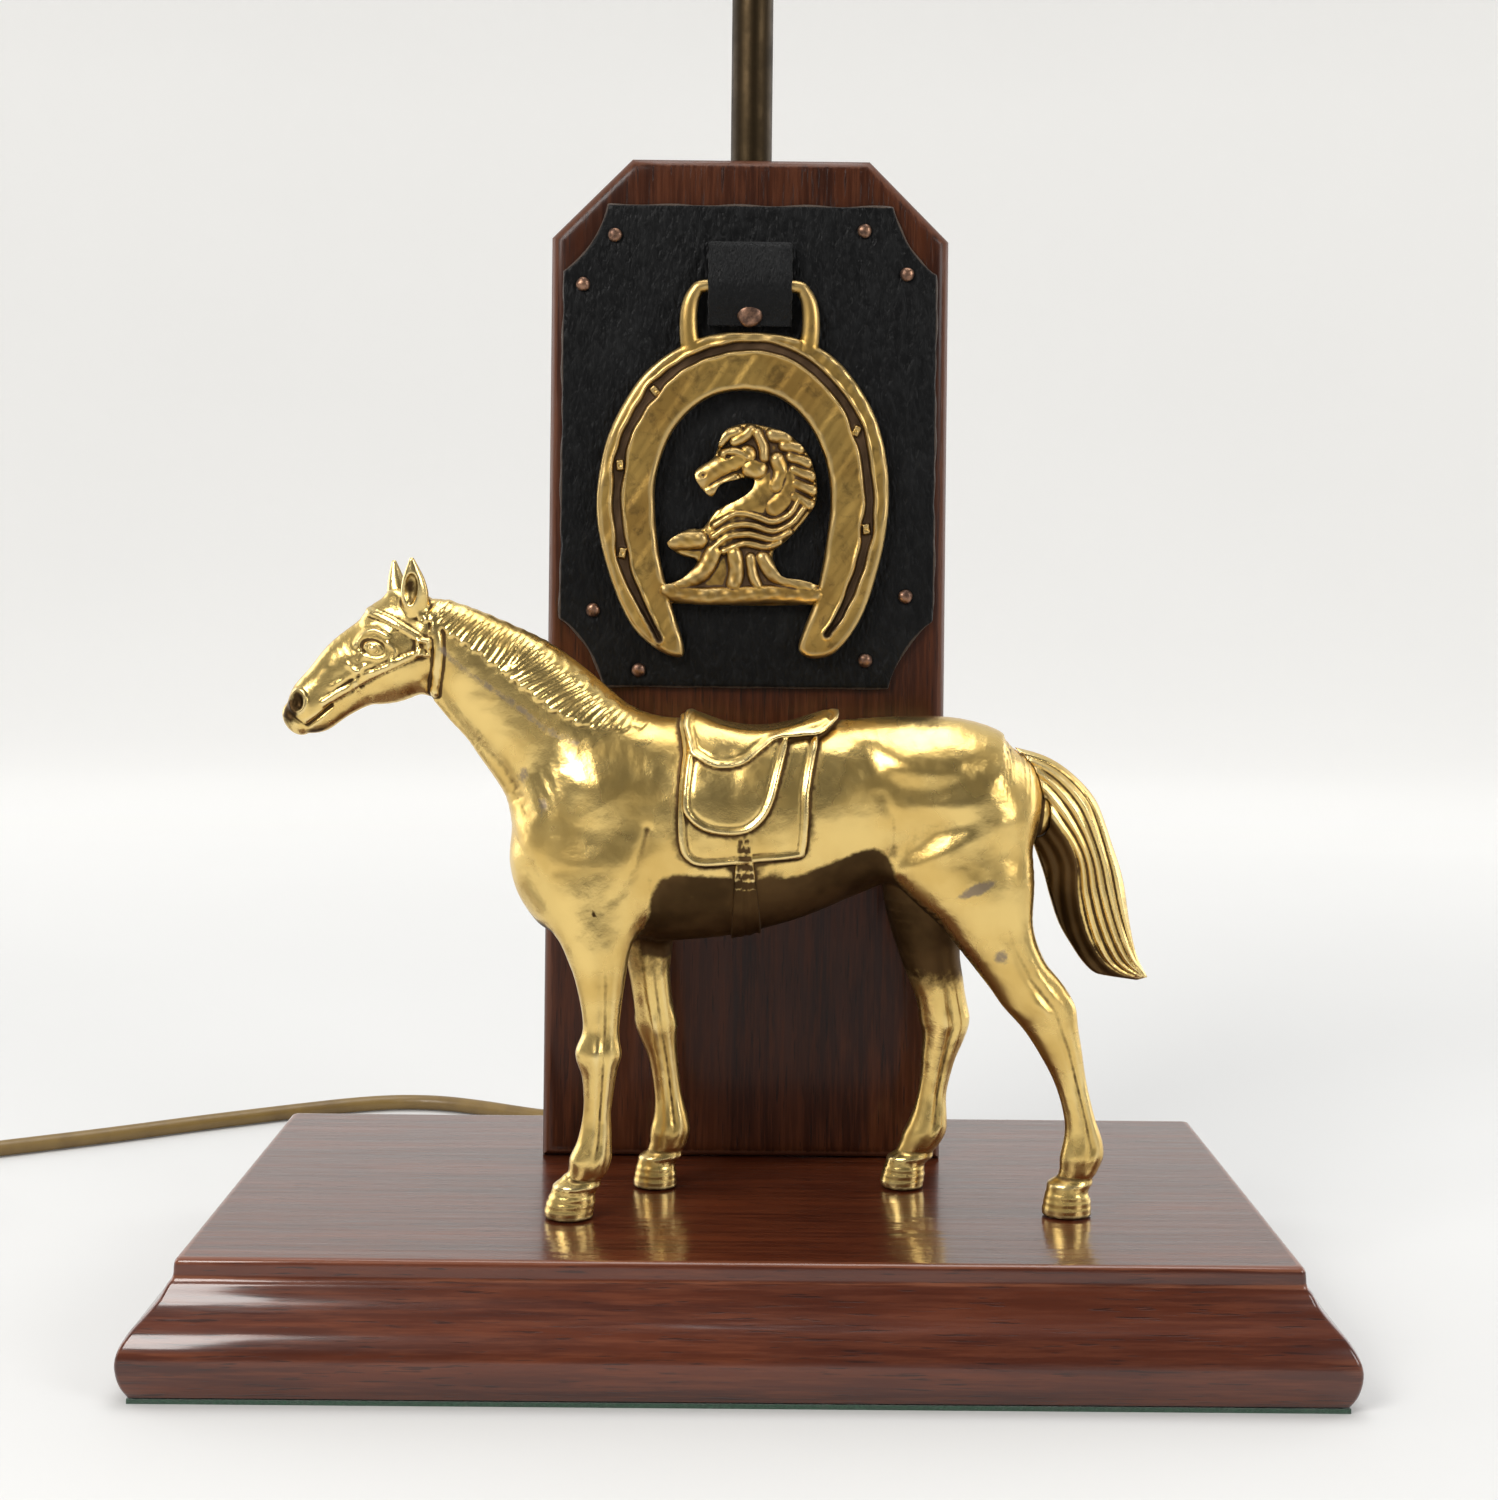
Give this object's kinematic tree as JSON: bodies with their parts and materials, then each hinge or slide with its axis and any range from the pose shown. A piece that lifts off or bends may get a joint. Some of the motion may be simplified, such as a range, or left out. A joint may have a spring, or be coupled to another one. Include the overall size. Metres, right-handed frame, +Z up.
{
  "type": "table lamp",
  "caption": "Equestrian table lamp: moulded wooden base, back board with a leather plaque and hanging horse brass, standing brass horse, tube with switched lampholder.",
  "frame": {"origin": "centre of the underside of the base, on the surface it stands on", "axes": "+X along the base, from the horse's head to its tail; +Y from the front to the back; +Z up"},
  "size_m": [0.5214, 0.2963, 0.5758],
  "materials": {
    "mahogany": "dark stained mahogany, varnished",
    "baize": "green felt",
    "leather": "black, fine grain",
    "copper": "dulled copper",
    "polished_brass": "polished casting, patina in the hollows",
    "antique_brass": "worn casting, dark in the grooves",
    "dark_brass": "browned tube",
    "holder_brass": "lacquered brass",
    "steel": "zinc plated",
    "phenolic": "black-brown moulding",
    "opal_glass": "opal",
    "aluminium": "spun cap",
    "gold_flex": "gold-brown PVC",
    "black_plastic": "satin black",
    "core_brown": "brown insulation",
    "core_blue": "blue insulation"
  },
  "bodies": {
    "lamp": {"base_board": "mahogany", "base_felt": "baize", "back_board": "mahogany", "leather_plaque": "leather", "plaque_tack_1": "copper", "plaque_tack_2": "copper", "plaque_tack_3": "copper", "plaque_tack_4": "copper", "plaque_tack_5": "copper", "plaque_tack_6": "copper", "plaque_tack_7": "copper", "plaque_tack_8": "copper", "brass_strap": "leather", "strap_rivet": "copper", "horse_body": "polished_brass", "horse_tail": "polished_brass", "hoof_screw_1": "steel", "hoof_screw_2": "steel", "hoof_screw_3": "steel", "hoof_screw_4": "steel", "board_screw_left": "steel", "board_screw_right": "steel", "lamp_tube": "dark_brass", "tube_washer": "steel", "tube_nut": "steel", "holder_cap": "holder_brass", "holder_barrel": "holder_brass", "holder_insulator": "phenolic", "spring_left": "steel", "spring_right": "steel", "shade_ring": "holder_brass", "bulb_cap": "aluminium", "bulb_glass": "opal_glass", "core_live": "core_brown", "core_neutral": "core_blue", "flex_grommet": "black_plastic", "flex_run": "gold_flex", "flex_coil": "gold_flex", "flex_tail": "gold_flex", "flex_tie": "black_plastic", "plug_sleeve": "black_plastic", "plug_body": "black_plastic", "plug_cover": "black_plastic", "plug_screw": "steel", "plug_fuse": "aluminium", "plug_pin_earth": "holder_brass", "plug_pin_live": "holder_brass", "plug_pin_neutral": "holder_brass"},
    "hanging_brass": {"horse_brass": "antique_brass"},
    "switch": {"switch_bar": "phenolic"},
    "left_contact": {"contact_left": "holder_brass"},
    "right_contact": {"contact_right": "holder_brass"}
  },
  "joints": [
    {"name": "brass_swing", "type": "hinge", "parent": "lamp", "child": "hanging_brass", "pos_m": [0, 0.0161, 0.2984], "axis": [-1, 0, 0], "range_deg": [0, 40]},
    {"name": "switch_push", "type": "slide", "parent": "lamp", "child": "switch", "axis": [1, 0, 0], "range_m": [0, 0.0052]},
    {"name": "left_contact_press", "type": "slide", "parent": "lamp", "child": "left_contact", "axis": [0, 0, 1], "range_m": [-0.002, 0], "stiffness_N_per_m": 400, "springref_m": 0.0015, "deforming": ["spring_left"]},
    {"name": "right_contact_press", "type": "slide", "parent": "lamp", "child": "right_contact", "axis": [0, 0, 1], "range_m": [-0.002, 0], "stiffness_N_per_m": 400, "springref_m": 0.0015, "deforming": ["spring_right"]}
  ]
}
